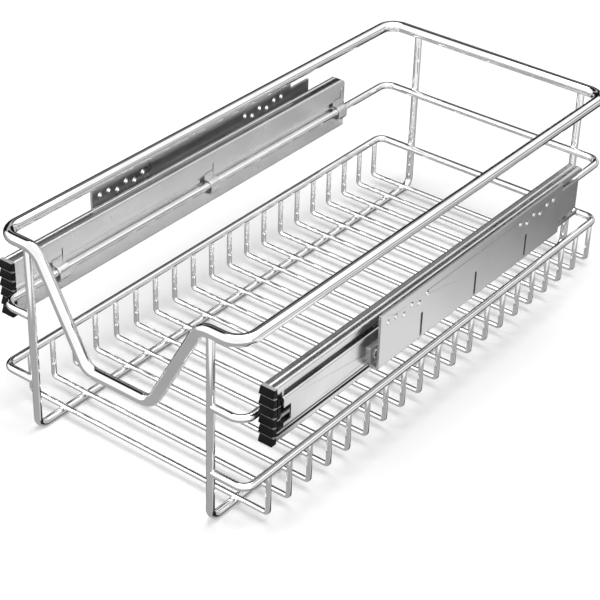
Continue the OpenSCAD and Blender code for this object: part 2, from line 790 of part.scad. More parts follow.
top_rim();
middle_ring();
lower_ring();
left_long_frame();
right_long_frame();
for (i = [0 : cross_count - 1]) cross_wire(i);
left() mounting_bracket();  // left_mounting_bracket
left() cabinet_rail();  // left_cabinet_rail
left() middle_rail();  // left_middle_rail
left() drawer_rail();  // left_drawer_rail
left() drawer_bumper();  // left_drawer_bumper
left() middle_bumper();  // left_middle_bumper
left() outer_ball_cage();  // left_outer_ball_cage
left() outer_balls();  // left_outer_balls
left() inner_ball_cage();  // left_inner_ball_cage
left() inner_balls();  // left_inner_balls
mounting_bracket();  // right_mounting_bracket
cabinet_rail();  // right_cabinet_rail
middle_rail();  // right_middle_rail
drawer_rail();  // right_drawer_rail
drawer_bumper();  // right_drawer_bumper
middle_bumper();  // right_middle_bumper
outer_ball_cage();  // right_outer_ball_cage
outer_balls();  // right_outer_balls
inner_ball_cage();  // right_inner_ball_cage
inner_balls();  // right_inner_balls
bracket_rivets();
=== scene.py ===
"""Looks of a pull-out wire basket on two telescopic slides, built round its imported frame."""

import math

import bpy
from mathutils import Matrix, Vector


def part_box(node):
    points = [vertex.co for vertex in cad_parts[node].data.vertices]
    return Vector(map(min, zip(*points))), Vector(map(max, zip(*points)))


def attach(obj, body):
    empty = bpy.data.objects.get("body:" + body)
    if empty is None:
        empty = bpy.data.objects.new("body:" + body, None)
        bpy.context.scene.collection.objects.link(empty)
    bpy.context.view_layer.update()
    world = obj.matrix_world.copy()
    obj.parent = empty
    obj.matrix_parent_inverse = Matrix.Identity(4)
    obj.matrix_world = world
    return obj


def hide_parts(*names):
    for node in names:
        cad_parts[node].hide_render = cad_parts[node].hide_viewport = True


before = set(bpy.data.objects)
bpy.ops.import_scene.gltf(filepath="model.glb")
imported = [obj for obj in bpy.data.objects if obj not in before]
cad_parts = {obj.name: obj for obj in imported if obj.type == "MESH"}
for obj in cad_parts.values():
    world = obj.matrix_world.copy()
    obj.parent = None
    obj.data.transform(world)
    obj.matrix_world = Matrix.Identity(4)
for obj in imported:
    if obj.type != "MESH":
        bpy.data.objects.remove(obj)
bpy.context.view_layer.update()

# The studio: a camera at the photograph's view angle, a pale floor under the basket, three
# soft lamps, and white, grey and black cards all round that give the chrome its streaks.
CAMERA_PLACE = (0.6707, -0.92875, 0.7770)
CAMERA_RIGHT = (0.80760, 0.58787, 0.04680)
CAMERA_UP = (-0.34797, 0.41095, 0.84264)
CAMERA_BACK = (0.47613, -0.69680, 0.53644)
SENSOR_WIDTH = 36.0
LENS = 105.72
SHIFT_ACROSS = -0.10667
SHIFT_UP = -0.03333
SIGHT_END = 20.0

camera_data = bpy.data.cameras.new("camera")
camera_data.sensor_width = SENSOR_WIDTH
camera_data.lens = LENS
camera_data.shift_x = SHIFT_ACROSS
camera_data.shift_y = SHIFT_UP
camera_data.clip_end = SIGHT_END
camera = bpy.data.objects.new("camera", camera_data)
camera_turn = Matrix((CAMERA_RIGHT, CAMERA_UP, CAMERA_BACK)).transposed().to_4x4()
camera.matrix_world = Matrix.Translation(CAMERA_PLACE) @ camera_turn
bpy.context.scene.collection.objects.link(camera)
bpy.context.scene.camera = camera
bpy.context.scene.view_settings.view_transform = "Standard"


def soft_lamp(name, place, aim, width, height, watts):
    """A rectangular soft lamp at place that looks at aim."""
    data = bpy.data.lights.new(name, "AREA")
    data.shape = "RECTANGLE"
    data.size = width
    data.size_y = height
    data.energy = watts
    lamp = bpy.data.objects.new(name, data)
    facing = (Vector(aim) - Vector(place)).to_track_quat("-Z", "Y")
    lamp.matrix_world = Matrix.Translation(place) @ facing.to_matrix().to_4x4()
    bpy.context.scene.collection.objects.link(lamp)


soft_lamp(
    "lamp_overhead", place=(0.1, 0.1, 1.6), aim=(0, 0, 0.05), width=1.5, height=1.0, watts=17.0
)
soft_lamp(
    "lamp_front_left", place=(-1.1, -1.2, 0.9), aim=(0, 0, 0.1), width=0.7, height=1.2, watts=9.0
)
soft_lamp(
    "lamp_right", place=(1.5, -0.5, 0.6), aim=(0.1, 0, 0.1), width=0.5, height=1.0, watts=7.0
)

# The cards stand in three zones: near, far right and far left. Each stop is a height, from 0
# at the foot to 1 at the tip, and the grey there. The tip leans a little towards the camera.
FILL_STRENGTH = 0.55
CARD_STRENGTH = 1.15
CARD_TIP = (0.16, -0.24, 0.96)
GROUND_GREY = 0.38
NEAR_STOPS = ((0.46, 0.38), (0.50, 1.0))
FAR_RIGHT_STOPS = (
    (0.06, 0.36),
    (0.09, 0.02),
    (0.205, 0.02),
    (0.235, 0.60),
    (0.29, 0.60),
    (0.31, 0.36),
    (0.42, 0.38),
    (0.45, 0.80),
    (0.56, 0.80),
    (0.57, 0.02),
    (0.615, 0.02),
    (0.63, 1.0),
)
FAR_LEFT_STOPS = (
    (0.06, 0.36),
    (0.09, 0.01),
    (0.60, 0.01),
    (0.615, 0.45),
    (0.655, 0.45),
    (0.67, 0.01),
    (0.86, 0.01),
    (0.88, 1.0),
)
LEFT_FROM = -0.25
ZONE_EDGE = 0.03

# The floor, and the white sheets on it, which glow and show only in mirrors as a painted
# reflection:
# how much they cover across and along it, and how long a line of sight has to be before it meets
# them.
FLOOR_SIZE = 8.0
FLOOR_GREY = 0.93
FLOOR_ROUGHNESS = 0.9
SHEETS_ACROSS = ((-0.028, 0), (-0.018, 1), (0.02, 1), (0.04, 0), (0.12, 0), (0.15, 1))
SHEETS_ALONG = ((-0.14, 0), (-0.10, 1), (0.06, 1), (0.28, 0))
SHEETS_SEEN = (0.10, 0.13)


def card_ramp(nodes, card_stops):
    """A ramp from the ground's grey to white with these cards in between."""
    ramp = nodes.new("ShaderNodeValToRGB")
    stops = ramp.color_ramp.elements
    stops[0].color = (GROUND_GREY, GROUND_GREY, GROUND_GREY, 1)
    for place, grey in card_stops:
        stop = stops.new(place)
        stop.color = (grey, grey, grey, 1)
    return ramp


def studio_world():
    """White to the camera and even light all round; mirrors see the studio's cards instead.

    In front of the basket lies a grey ground under a white ceiling. Behind it on the right a
    black strip and a pale one lie on that ground, and the white above has one narrow dark gap.
    On the left a black wall with one grey card rises from the ground almost to the ceiling.
    """
    world = bpy.data.worlds.new("studio")
    world.use_nodes = True
    nodes, links = world.node_tree.nodes, world.node_tree.links
    nodes.clear()
    out = nodes.new("ShaderNodeOutputWorld")
    camera_white = nodes.new("ShaderNodeBackground")
    camera_white.inputs["Color"].default_value = (1, 1, 1, 1)
    soft_fill = nodes.new("ShaderNodeBackground")
    soft_fill.inputs["Color"].default_value = (1, 1, 1, 1)
    soft_fill.inputs["Strength"].default_value = FILL_STRENGTH
    cards = nodes.new("ShaderNodeBackground")
    cards.inputs["Strength"].default_value = CARD_STRENGTH
    heading = nodes.new("ShaderNodeTexCoord")
    height = nodes.new("ShaderNodeVectorMath")
    height.operation = "DOT_PRODUCT"
    height.inputs[1].default_value = CARD_TIP
    spread = nodes.new("ShaderNodeMapRange")
    spread.inputs["From Min"].default_value = -1.0
    near_cards = card_ramp(nodes, NEAR_STOPS)
    left_cards = card_ramp(nodes, FAR_LEFT_STOPS)
    right_cards = card_ramp(nodes, FAR_RIGHT_STOPS)
    parts = nodes.new("ShaderNodeSeparateXYZ")
    mix_far = nodes.new("ShaderNodeMixRGB")
    mix_depth = nodes.new("ShaderNodeMixRGB")
    links.new(heading.outputs["Generated"], parts.inputs[0])
    for axis, middle, mix in (("X", LEFT_FROM, mix_far), ("Y", 0.0, mix_depth)):
        edge = nodes.new("ShaderNodeMapRange")
        edge.inputs["From Min"].default_value = middle - ZONE_EDGE
        edge.inputs["From Max"].default_value = middle + ZONE_EDGE
        links.new(parts.outputs[axis], edge.inputs["Value"])
        links.new(edge.outputs[0], mix.inputs[0])
    path = nodes.new("ShaderNodeLightPath")
    mix_mirror = nodes.new("ShaderNodeMixShader")
    mix_camera = nodes.new("ShaderNodeMixShader")
    links.new(heading.outputs["Generated"], height.inputs[0])
    links.new(height.outputs["Value"], spread.inputs["Value"])
    for ramp in (near_cards, left_cards, right_cards):
        links.new(spread.outputs[0], ramp.inputs[0])
    links.new(left_cards.outputs[0], mix_far.inputs[1])
    links.new(right_cards.outputs[0], mix_far.inputs[2])
    links.new(near_cards.outputs[0], mix_depth.inputs[1])
    links.new(mix_far.outputs[0], mix_depth.inputs[2])
    links.new(mix_depth.outputs[0], cards.inputs["Color"])
    links.new(path.outputs["Is Glossy Ray"], mix_mirror.inputs[0])
    links.new(soft_fill.outputs[0], mix_mirror.inputs[1])
    links.new(cards.outputs[0], mix_mirror.inputs[2])
    links.new(path.outputs["Is Camera Ray"], mix_camera.inputs[0])
    links.new(mix_mirror.outputs[0], mix_camera.inputs[1])
    links.new(camera_white.outputs[0], mix_camera.inputs[2])
    links.new(mix_camera.outputs[0], out.inputs[0])
    return world


def floor_finish():
    """Matt white paint, as the camera sees it.

    Mirrors look through it at the ground below, but for a white sheet under the basket and one
    on its right, which glow as a painted reflection and show only to what stands well above them.
    """
    paint = bpy.data.materials.new("floor_paint")
    paint.use_nodes = True
    nodes, links = paint.node_tree.nodes, paint.node_tree.links
    white = nodes["Principled BSDF"]
    white.inputs["Base Color"].default_value = (FLOOR_GREY, FLOOR_GREY, FLOOR_GREY, 1)
    white.inputs["Roughness"].default_value = FLOOR_ROUGHNESS
    place = nodes.new("ShaderNodeTexCoord")
    parts = nodes.new("ShaderNodeSeparateXYZ")
    fades = []
    for axis, edges in (("X", SHEETS_ACROSS), ("Y", SHEETS_ALONG)):
        reach = nodes.new("ShaderNodeMapRange")
        start, end = edges[0][0], edges[-1][0]
        reach.inputs["From Min"].default_value = start
        reach.inputs["From Max"].default_value = end
        fade = nodes.new("ShaderNodeValToRGB")
        stops = fade.color_ramp.elements
        middle = 0.5
        for _ in edges[2:]:
            stops.new(middle)
        for stop, (at, strength) in zip(stops, edges):
            stop.position = (at - start) / (end - start)
            stop.color = (strength, strength, strength, 1)
        links.new(parts.outputs[axis], reach.inputs["Value"])
        links.new(reach.outputs[0], fade.inputs[0])
        fades.append(fade)
    high_up = nodes.new("ShaderNodeMapRange")
    high_up.inputs["From Min"].default_value = SHEETS_SEEN[0]
    high_up.inputs["From Max"].default_value = SHEETS_SEEN[1]
    patch = nodes.new("ShaderNodeMath")
    patch.operation = "MULTIPLY"
    cover = nodes.new("ShaderNodeMath")
    cover.operation = "MULTIPLY"
    # The sheets glow white: a painted reflection that only mirrors see.
    glowing_sheet = nodes.new("ShaderNodeEmission")
    glowing_sheet.inputs["Color"].default_value = (1, 1, 1, 1)
    open_ground = nodes.new("ShaderNodeBsdfTransparent")
    mix_glow = nodes.new("ShaderNodeMixShader")
    path = nodes.new("ShaderNodeLightPath")
    mix_mirror = nodes.new("ShaderNodeMixShader")
    links.new(place.outputs["Object"], parts.inputs[0])
    links.new(fades[0].outputs[0], patch.inputs[0])
    links.new(fades[1].outputs[0], patch.inputs[1])
    links.new(path.outputs["Ray Length"], high_up.inputs["Value"])
    links.new(patch.outputs[0], cover.inputs[0])
    links.new(high_up.outputs[0], cover.inputs[1])
    links.new(cover.outputs[0], mix_glow.inputs[0])
    links.new(open_ground.outputs[0], mix_glow.inputs[1])
    links.new(glowing_sheet.outputs[0], mix_glow.inputs[2])
    links.new(path.outputs["Is Glossy Ray"], mix_mirror.inputs[0])
    links.new(white.outputs[0], mix_mirror.inputs[1])
    links.new(mix_glow.outputs[0], mix_mirror.inputs[2])
    links.new(mix_mirror.outputs[0], nodes["Material Output"].inputs["Surface"])
    return paint


bpy.context.scene.world = studio_world()

bpy.ops.object.select_all(action="DESELECT")
bpy.ops.mesh.primitive_plane_add(size=FLOOR_SIZE, location=(0, 0, 0))
floor = bpy.context.object
floor.name = "floor"
floor.data.materials.append(floor_finish())

# The long frames: two 6 mm mild steel wires, each bent to a wide U that runs up the front to
# the rim's underside, along the floor and up behind the rim. Everything else of the basket is
# welded to them, and the whole basket is then polished and chrome plated.
FRAME_RADIUS = 0.003
FRAME_BEND = 0.008
RIM_RADIUS = 0.0045
FRONT_SUNK = 0.0015
WIRE_SIDES = 24
BEND_STEP_DEGREES = 6
LEAST_BEND_STEPS = 6
LOOP_GAP = 0.00005
CUT_END_SHARE = 0.12
CUT_END_SEGMENTS = 2
CUT_END_ANGLE = math.radians(60)
WIRE_SMOOTH = math.radians(40)
CLOUD_DETAIL = 4.0
CLOUD_LOW = 0.3
CLOUD_HIGH = 0.7
HAZES_PER_CLOUD = 2
LINE_DETAIL = 3.0


def start_group(name, inputs, output):
    """A node group with these inputs and this one output, and its two end nodes."""
    group = bpy.data.node_groups.new(name, "ShaderNodeTree")
    for label in inputs:
        group.interface.new_socket(label, in_out="INPUT", socket_type="NodeSocketFloat")
    group.interface.new_socket(output, in_out="OUTPUT", socket_type="NodeSocketFloat")
    return group, group.nodes.new("NodeGroupInput"), group.nodes.new("NodeGroupOutput")


def make_cloud_group():
    """Soft clouds over the surface, from Low to High; a larger Size gives finer ones."""
    group, given, result = start_group("soft_clouds", ("Size", "Low", "High"), "Value")
    place = group.nodes.new("ShaderNodeTexCoord")
    noise = group.nodes.new("ShaderNodeTexNoise")
    noise.inputs["Detail"].default_value = CLOUD_DETAIL
    spread = group.nodes.new("ShaderNodeMapRange")
    spread.inputs["From Min"].default_value = CLOUD_LOW
    spread.inputs["From Max"].default_value = CLOUD_HIGH
    group.links.new(place.outputs["Object"], noise.inputs["Vector"])
    group.links.new(given.outputs["Size"], noise.inputs["Scale"])
    group.links.new(noise.outputs["Fac"], spread.inputs["Value"])
    group.links.new(given.outputs["Low"], spread.inputs["To Min"])
    group.links.new(given.outputs["High"], spread.inputs["To Max"])
    group.links.new(spread.outputs[0], result.inputs["Value"])
    return group


def make_lines_group():
    """Fine lines along Y, as rolling or drawing leaves them; Stretch 1 gives an even grain."""
    group, given, result = start_group("drawn_lines", ("Size", "Stretch"), "Height")
    place = group.nodes.new("ShaderNodeTexCoord")
    parts = group.nodes.new("ShaderNodeSeparateXYZ")
    drawn = group.nodes.new("ShaderNodeMath")
    drawn.operation = "MULTIPLY"
    whole = group.nodes.new("ShaderNodeCombineXYZ")
    noise = group.nodes.new("ShaderNodeTexNoise")
    noise.inputs["Detail"].default_value = LINE_DETAIL
    group.links.new(place.outputs["Object"], parts.inputs[0])
    group.links.new(parts.outputs["X"], whole.inputs["X"])
    group.links.new(parts.outputs["Y"], drawn.inputs[0])
    group.links.new(given.outputs["Stretch"], drawn.inputs[1])
    group.links.new(drawn.outputs[0], whole.inputs["Y"])
    group.links.new(parts.outputs["Z"], whole.inputs["Z"])
    group.links.new(whole.outputs[0], noise.inputs["Vector"])
    group.links.new(given.outputs["Size"], noise.inputs["Scale"])
    group.links.new(noise.outputs["Fac"], result.inputs["Height"])
    return group


soft_clouds = make_cloud_group()
drawn_lines = make_lines_group()


def add_clouds(material, size, low, high):
    """The output of a soft_clouds group placed in this material."""
    node = material.node_tree.nodes.new("ShaderNodeGroup")
    node.node_tree = soft_clouds
    node.inputs["Size"].default_value = size
    node.inputs["Low"].default_value = low
    node.inputs["High"].default_value = high
    return node.outputs["Value"]


def add_relief(material, size, stretch, depth):
    """Fine relief of this depth in metres on the material's surface, lined or even."""
    nodes, links = material.node_tree.nodes, material.node_tree.links
    lines = nodes.new("ShaderNodeGroup")
    lines.node_tree = drawn_lines
    lines.inputs["Size"].default_value = size
    lines.inputs["Stretch"].default_value = stretch
    bump = nodes.new("ShaderNodeBump")
    bump.inputs["Strength"].default_value = 1.0
    bump.inputs["Distance"].default_value = depth
    links.new(lines.outputs["Height"], bump.inputs["Height"])
    links.new(bump.outputs[0], nodes["Principled BSDF"].inputs["Normal"])


def bright_metal(name, greys, roughness, cloud_size, line_size, line_stretch, line_depth):
    """A metal that wanders in clouds between two greys and two roughnesses, lined or grained."""
    finish = bpy.data.materials.new(name)
    finish.use_nodes = True
    links = finish.node_tree.links
    metal = finish.node_tree.nodes["Principled BSDF"]
    metal.inputs["Metallic"].default_value = 1.0
    haze_size = cloud_size * HAZES_PER_CLOUD
    links.new(add_clouds(finish, cloud_size, *greys), metal.inputs["Base Color"])
    links.new(add_clouds(finish, haze_size, *roughness), metal.inputs["Roughness"])
    add_relief(finish, line_size, line_stretch, line_depth)
    return finish


# Chrome over polished wire: faint drawing lines remain, and a haze that comes and goes.
wire_chrome = bright_metal(
    "wire_chrome",
    greys=(0.80, 0.88),
    roughness=(0.03, 0.07),
    cloud_size=30.0,
    line_size=500.0,
    line_stretch=0.3,
    line_depth=0.0000015,
)


def draw_wire(name, corners, bends, radius, closed=False):
    """A wire drawn along corners, straight between them and bent at each to its own radius."""
    corners = [Vector(c) for c in corners]
    bpy.ops.object.select_all(action="DESELECT")
    first = (corners[1] - corners[0]).normalized()
    turn = first.to_track_quat("Z", "Y").to_euler()
    bpy.ops.mesh.primitive_circle_add(
        vertices=WIRE_SIDES, radius=radius, fill_type="NOTHING", location=corners[0], rotation=turn
    )
    wire = bpy.context.object
    wire.name = name
    bpy.ops.object.transform_apply(location=True, rotation=True, scale=True)
    bpy.ops.object.mode_set(mode="EDIT")
    bpy.ops.mesh.select_all(action="SELECT")
    at = corners[0]
    for before, corner, after, bend in zip(corners, corners[1:], corners[2:] + [None], bends + [0]):
        way = (corner - before).normalized()
        if after is None:
            bpy.ops.mesh.extrude_region_move(TRANSFORM_OT_translate={"value": corner - at})
            break
        onward = (after - corner).normalized()
        angle = way.angle(onward)
        cut = bend * math.tan(angle / 2)
        start = corner - way * cut
        bpy.ops.mesh.extrude_region_move(TRANSFORM_OT_translate={"value": start - at})
        axis = way.cross(onward).normalized()
        centre = start + axis.cross(way) * bend
        steps = max(LEAST_BEND_STEPS, round(math.degrees(angle) / BEND_STEP_DEGREES))
        bpy.ops.mesh.spin(steps=steps, angle=-angle, center=centre, axis=axis)
        at = corner + onward * cut
    if closed:
        bpy.ops.mesh.select_all(action="SELECT")
        bpy.ops.mesh.remove_doubles(threshold=LOOP_GAP)
    else:
        bpy.ops.mesh.select_all(action="DESELECT")
        bpy.ops.mesh.select_non_manifold()
        bpy.ops.mesh.fill_holes(sides=0)
    bpy.ops.mesh.select_all(action="SELECT")
    bpy.ops.mesh.normals_make_consistent(inside=False)
    bpy.ops.object.mode_set(mode="OBJECT")
    if not closed:
        rounding = wire.modifiers.new("cut_end", "BEVEL")
        rounding.limit_method = "ANGLE"
        rounding.angle_limit = CUT_END_ANGLE
        rounding.width = radius * CUT_END_SHARE
        rounding.segments = CUT_END_SEGMENTS
        bpy.ops.object.modifier_apply(modifier=rounding.name)
    bpy.ops.object.shade_smooth_by_angle(angle=WIRE_SMOOTH)
    return wire


def copy_piece(piece, name, step):
    """A copy of the piece that lies this step away, with its own mesh and still no finish."""
    copy = bpy.data.objects.new(name, piece.data.copy())
    bpy.context.scene.collection.objects.link(copy)
    copy.data.materials.clear()
    copy.data.transform(Matrix.Translation(step))
    return copy


def finish_piece(piece, node, finish, body):
    """The piece stands for the node, takes this finish and slot, and moves with that body."""
    piece.data.materials.append(finish)
    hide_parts(node)
    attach(piece, body)


low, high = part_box("left_long_frame")
frame_x = -(low[0] + high[0]) / 2
frame_front, frame_back = low[1] + FRAME_RADIUS, high[1] - FRAME_RADIUS
foot, back_top = low[2] + FRAME_RADIUS, high[2]
front_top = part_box("top_rim")[1][2] - 2 * RIM_RADIUS + FRONT_SUNK
left_frame = draw_wire(
    "left_frame_wire",
    [
        (-frame_x, frame_front, front_top),
        (-frame_x, frame_front, foot),
        (-frame_x, frame_back, foot),
        (-frame_x, frame_back, back_top),
    ],
    [FRAME_BEND] * 2,
    FRAME_RADIUS,
)
right_frame = copy_piece(left_frame, "right_frame_wire", (2 * frame_x, 0, 0))
finish_piece(left_frame, "left_long_frame", wire_chrome, "basket")
finish_piece(right_frame, "right_long_frame", wire_chrome, "basket")

# The cross wires: twenty 4 mm wires laid over the frames and turned up at both ends, which are
# butt welded to the underside of the lower ring.
CROSS_RADIUS = 0.002
CROSS_BEND = 0.003
CROSS_COUNT = 20
CROSS_SUNK = 0.0008

low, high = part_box("cross_wire_01")
first_y = (low[1] + high[1]) / 2
left, right = low[0] + CROSS_RADIUS, high[0] - CROSS_RADIUS
foot, top = low[2] + CROSS_RADIUS, high[2] + CROSS_SUNK
first_wire = draw_wire(
    "floor_wire_01",
    [(left, first_y, top), (left, first_y, foot), (right, first_y, foot), (right, first_y, top)],
    [CROSS_BEND] * 2,
    CROSS_RADIUS,
)
finish_piece(first_wire, "cross_wire_01", wire_chrome, "basket")
for number in range(2, CROSS_COUNT + 1):
    node = f"cross_wire_{number:02d}"
    low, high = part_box(node)
    along = (low[1] + high[1]) / 2 - first_y
    wire = copy_piece(first_wire, f"floor_wire_{number:02d}", (0, along, 0))
    finish_piece(wire, node, wire_chrome, "basket")

# The two rings: 6 mm wires round both sides and the back, their front ends butt welded to the
# outsides of the long frames' front uprights.
RING_RADIUS = 0.003
RING_SUNK = 0.0012
LOWER_CORNER = 0.008
MIDDLE_CORNER = 0.010
ring_end_x = frame_x + FRAME_RADIUS - RING_SUNK

for node, corner in (("lower_ring", LOWER_CORNER), ("middle_ring", MIDDLE_CORNER)):
    low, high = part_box(node)
    left, right = low[0] + RING_RADIUS, high[0] - RING_RADIUS
    front, back = low[1] + RING_RADIUS, high[1] - RING_RADIUS
    z = (low[2] + high[2]) / 2
    wire = draw_wire(
        f"{node}_wire",
        [
            (ring_end_x, front, z),
            (right, front, z),
            (right, back, z),
            (left, back, z),
            (left, front, z),
            (-ring_end_x, front, z),
        ],
        [corner] * 4,
        RING_RADIUS,
    )
    finish_piece(wire, node, wire_chrome, "basket")

# The rim: one 9 mm wire round the top, whose front dips into a low handle. Its ends are butt
# welded in the middle of the handle and ground flush before plating.
RIM_CORNER = 0.014
DIP_BEND = 0.014
DIP_OUT_X = 0.072
DIP_IN_X = 0.029

low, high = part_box("top_rim")
rim_x = high[0] - RIM_RADIUS
rim_front, rim_back = low[1] + RIM_RADIUS, high[1] - RIM_RADIUS
rim_top, handle_z = high[2] - RIM_RADIUS, low[2] + RIM_RADIUS
wire = draw_wire(
    "rim_wire",
    [
        (0, rim_front, handle_z),
        (DIP_IN_X, rim_front, handle_z),
        (DIP_OUT_X, rim_front, rim_top),
        (rim_x, rim_front, rim_top),
        (rim_x, rim_back, rim_top),
        (-rim_x, rim_back, rim_top),
        (-rim_x, rim_front, rim_top),
        (-DIP_OUT_X, rim_front, rim_top),
        (-DIP_IN_X, rim_front, handle_z),
        (0, rim_front, handle_z),
    ],
    [DIP_BEND] * 2 + [RIM_CORNER] * 4 + [DIP_BEND] * 2,
    RIM_RADIUS,
    closed=True,
)
finish_piece(wire, "top_rim", wire_chrome, "basket")

# The welds: where two wires meet, resistance welding melts them together and squeezes out a
# low bead all round the spot, which the plating then covers.
BEAD_FLAT = 0.3
BEAD_SPREAD = 1.04
BEAD_SIDES = 12
BEAD_RINGS = 6


def weld_bead(radius, axis):
    """One bead round a weld of two wires of this radius, flat across that axis, at the origin."""
    bpy.ops.object.select_all(action="DESELECT")
    bpy.ops.mesh.primitive_uv_sphere_add(
        segments=BEAD_SIDES, ring_count=BEAD_RINGS, radius=radius * BEAD_SPREAD, location=(0, 0, 0)
    )
    bead = bpy.context.object
    squash = [1.0, 1.0, 1.0]
    squash["XYZ".index(axis)] = BEAD_FLAT
    bpy.ops.object.mode_set(mode="EDIT")
    bpy.ops.mesh.select_all(action="SELECT")
    bpy.ops.transform.resize(value=squash, center_override=(0, 0, 0))
    bpy.ops.object.mode_set(mode="OBJECT")
    bpy.ops.object.shade_smooth()
    return bead


def join_pieces(pieces, name):
    """The pieces joined into one of this name."""
    bpy.ops.object.select_all(action="DESELECT")
    for piece in pieces:
        piece.select_set(True)
    bpy.context.view_layer.objects.active = pieces[0]
    bpy.ops.object.join()
    joined = bpy.context.object
    joined.name = name
    return joined


floor_bead = weld_bead(CROSS_RADIUS, "Z")
butt_bead = weld_bead(RING_RADIUS, "X")
back_bead = weld_bead(RING_RADIUS, "Y")
rim_bead = weld_bead(FRAME_RADIUS, "Z")
spots = []
for side in (-1, 1):
    for number in range(1, CROSS_COUNT + 1):
        low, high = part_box(f"cross_wire_{number:02d}")
        y = (low[1] + high[1]) / 2
        spots.append((floor_bead, (side * frame_x, y, low[2])))
        spots.append((floor_bead, (side * (high[0] - CROSS_RADIUS), y, high[2])))
    for node in ("lower_ring", "middle_ring"):
        low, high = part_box(node)
        z = (low[2] + high[2]) / 2
        spots.append((butt_bead, (side * (frame_x + FRAME_RADIUS), frame_front, z)))
        spots.append((back_bead, (side * frame_x, frame_back - RING_RADIUS, z)))
    spots.append((rim_bead, (side * frame_x, frame_front, rim_top - RIM_RADIUS)))
    spots.append((back_bead, (side * frame_x, frame_back - FRAME_RADIUS, rim_top - RING_RADIUS)))
beads = [copy_piece(bead, "bead", place) for bead, place in spots]
for bead in (floor_bead, butt_bead, back_bead, rim_bead):
    bpy.data.objects.remove(bead)
welds = join_pieces(beads, "weld_beads")
welds.data.materials.append(wire_chrome)
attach(welds, "basket")

# The rails: three cold-rolled steel channels a side, one inside the other, zinc plated. Their
# edges are rounded by rolling, and the drawer rail's flanges carry a pressed line outside
# the ball tracks. Three clips pressed out of its web hold the basket's middle ring.
SHEET_EASE = 0.00018
TRACK_LINE_RADIUS = 0.0036
TRACK_LINE_DEPTH = 0.00045
TRACK_LINE_IN = 0.0065
REAR_ROUND = 0.005
LINE_BAR_SIDES = 48
ROUND_CUTTER_SIDES = 96
SKIN_GAP = 0.000002
SKIN_FLAT = math.radians(1)
SHARP_FROM = math.radians(38)
SMOOTH_BELOW = math.radians(20)
EASE_SEGMENTS = 2
FACE_WEIGHT = 100

rail_zinc = bright_metal(
    "rail_zinc",
    greys=(0.66, 0.76),
    roughness=(0.20, 0.28),
    cloud_size=25.0,
    line_size=1500.0,
    line_stretch=0.01,
    line_depth=0.000012,
)


def loose_copy(node, name):
    """A copy of a carried-over node's mesh, its loose triangles merged into one closed skin."""
    copy = bpy.data.objects.new(name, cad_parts[node].data.copy())
    bpy.context.scene.collection.objects.link(copy)
    copy.data.materials.clear()
    bpy.ops.object.select_all(action="DESELECT")
    copy.select_set(True)
    bpy.context.view_layer.objects.active = copy
    bpy.ops.object.mode_set(mode="EDIT")
    bpy.ops.mesh.select_all(action="SELECT")
    bpy.ops.mesh.remove_doubles(threshold=SKIN_GAP)
    bpy.ops.mesh.beautify_fill(angle_limit=SKIN_FLAT)
    bpy.ops.object.mode_set(mode="OBJECT")
    return copy


def ease_edges(piece, width, segments, smooth_below=SMOOTH_BELOW):
    """Rounds every sharp edge of the piece by that width; faces stay flat up to the rounding."""
    bpy.ops.object.select_all(action="DESELECT")
    piece.select_set(True)
    bpy.context.view_layer.objects.active = piece
    easing = piece.modifiers.new("eased_edges", "BEVEL")
    easing.limit_method = "ANGLE"
    easing.angle_limit = SHARP_FROM
    easing.width = width
    easing.segments = segments
    easing.use_clamp_overlap = False
    bpy.ops.object.modifier_apply(modifier=easing.name)
    bpy.ops.object.shade_smooth_by_angle(angle=smooth_below)
    flatten = piece.modifiers.new("flat_faces", "WEIGHTED_NORMAL")
    flatten.keep_sharp = True
    flatten.weight = FACE_WEIGHT
    bpy.ops.object.modifier_apply(modifier=flatten.name)


def draw_out(way):
    """Draws the flat shape that was just added out this way, into a solid bar."""
    bar = bpy.context.object
    bpy.ops.object.mode_set(mode="EDIT")
    bpy.ops.mesh.select_all(action="SELECT")
    bpy.ops.mesh.extrude_region_move(TRANSFORM_OT_translate={"value": way})
    bpy.ops.mesh.select_all(action="SELECT")
    bpy.ops.mesh.normals_make_consistent(inside=False)
    bpy.ops.object.mode_set(mode="OBJECT")
    return bar


def cut_out(target, tool):
    """Cuts the tool's shape out of the target and puts the tool away."""
    bpy.ops.object.select_all(action="DESELECT")
    target.select_set(True)
    bpy.context.view_layer.objects.active = target
    cut = target.modifiers.new("cut_out", "BOOLEAN")
    cut.operation = "DIFFERENCE"
    cut.object = tool
    bpy.ops.object.modifier_apply(modifier=cut.name)
    bpy.data.objects.remove(tool)


def press_line(rail, x, z, front, back):
    """Presses a shallow round line along the rail with a long bar."""
    bpy.ops.object.select_all(action="DESELECT")
    bpy.ops.mesh.primitive_circle_add(
        vertices=LINE_BAR_SIDES,
        radius=TRACK_LINE_RADIUS,
        fill_type="NGON",
        location=(x, front - TRACK_LINE_RADIUS, z),
        rotation=(math.radians(90), 0, 0),
    )
    cut_out(rail, draw_out((0, back - front + 2 * TRACK_LINE_RADIUS, 0)))


def round_rear_corner(rail, low, high):
    """Cuts the upper rear corner of the rail between low and high to a quarter round."""
    width = high[0] - low[0]
    across = (0, math.radians(90), 0)
    bpy.ops.object.select_all(action="DESELECT")
    bpy.ops.mesh.primitive_plane_add(
        size=2 * REAR_ROUND, location=(low[0] - SHEET_EASE, high[1], high[2]), rotation=across
    )
    corner = draw_out((width + 2 * SHEET_EASE, 0, 0))
    bpy.ops.object.select_all(action="DESELECT")
    bpy.ops.mesh.primitive_circle_add(
        vertices=ROUND_CUTTER_SIDES,
        radius=REAR_ROUND,
        fill_type="NGON",
        location=(low[0] - 2 * SHEET_EASE, high[1] - REAR_ROUND, high[2] - REAR_ROUND),
        rotation=across,
    )
    cut_out(corner, draw_out((width + 4 * SHEET_EASE, 0, 0)))
    cut_out(rail, corner)


